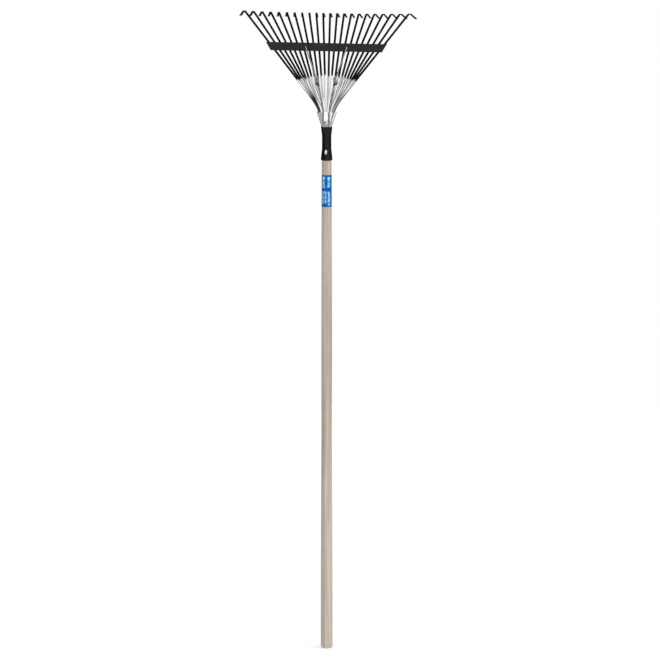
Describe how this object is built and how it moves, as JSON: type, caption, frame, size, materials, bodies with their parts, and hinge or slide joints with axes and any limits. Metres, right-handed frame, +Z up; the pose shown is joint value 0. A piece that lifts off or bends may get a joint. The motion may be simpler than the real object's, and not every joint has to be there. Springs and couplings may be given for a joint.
{
  "type": "leaf rake",
  "caption": "Leaf rake with a wooden handle, a steel ferrule, and a flexible fan of hooked flat steel tines braced by a coil-spring wire.",
  "frame": {"origin": "centre of the butt end of the handle", "axes": "+Z up the handle to the tine tips, +X across the fan, +Y the way the hooked tine tips point; the spring brace is on the -Y side"},
  "size_m": [0.4272, 0.0335, 1.5005],
  "materials": {
    "handle_wood": "pale unpainted hardwood, long straight grain, matt",
    "label_film": "blue printed film with plain lighter bands, no lettering",
    "sleeve_plastic": "black, satin",
    "zinc_steel": "bright zinc plate",
    "tine_steel": "black enamel from the tips down, bright zinc plate near the socket",
    "crossbar_paint": "black enamel, satin"
  },
  "bodies": {
    "handle_assembly": {"handle": "handle_wood", "handle_label": "label_film", "ferrule_socket": "zinc_steel", "ferrule_sleeve": "sleeve_plastic", "ferrule_screw": "zinc_steel", "brace_rivet": "zinc_steel"},
    "fan": {"tine_01": "tine_steel", "tine_02": "tine_steel", "tine_03": "tine_steel", "tine_04": "tine_steel", "tine_05": "tine_steel", "tine_06": "tine_steel", "tine_07": "tine_steel", "tine_08": "tine_steel", "tine_09": "tine_steel", "tine_10": "tine_steel", "tine_11": "tine_steel", "tine_12": "tine_steel", "tine_13": "tine_steel", "tine_14": "tine_steel", "tine_15": "tine_steel", "tine_16": "tine_steel", "tine_17": "tine_steel", "tine_18": "tine_steel", "tine_19": "tine_steel", "tine_20": "tine_steel", "tine_21": "tine_steel", "tine_22": "tine_steel", "crossbar": "crossbar_paint", "spring_brace": "zinc_steel"}
  },
  "joints": [
    {"name": "fan_flex", "type": "hinge", "parent": "handle_assembly", "child": "fan", "pos_m": [0, 0, 1.266], "axis": [1, 0, 0], "range_deg": [-7, 7], "stiffness_Nm_per_rad": 42, "deforming": ["tine_01", "tine_02", "tine_03", "tine_04", "tine_05", "tine_06", "tine_07", "tine_08", "tine_09", "tine_10", "tine_11", "tine_12", "tine_13", "tine_14", "tine_15", "tine_16", "tine_17", "tine_18", "tine_19", "tine_20", "tine_21", "tine_22", "spring_brace"]}
  ]
}
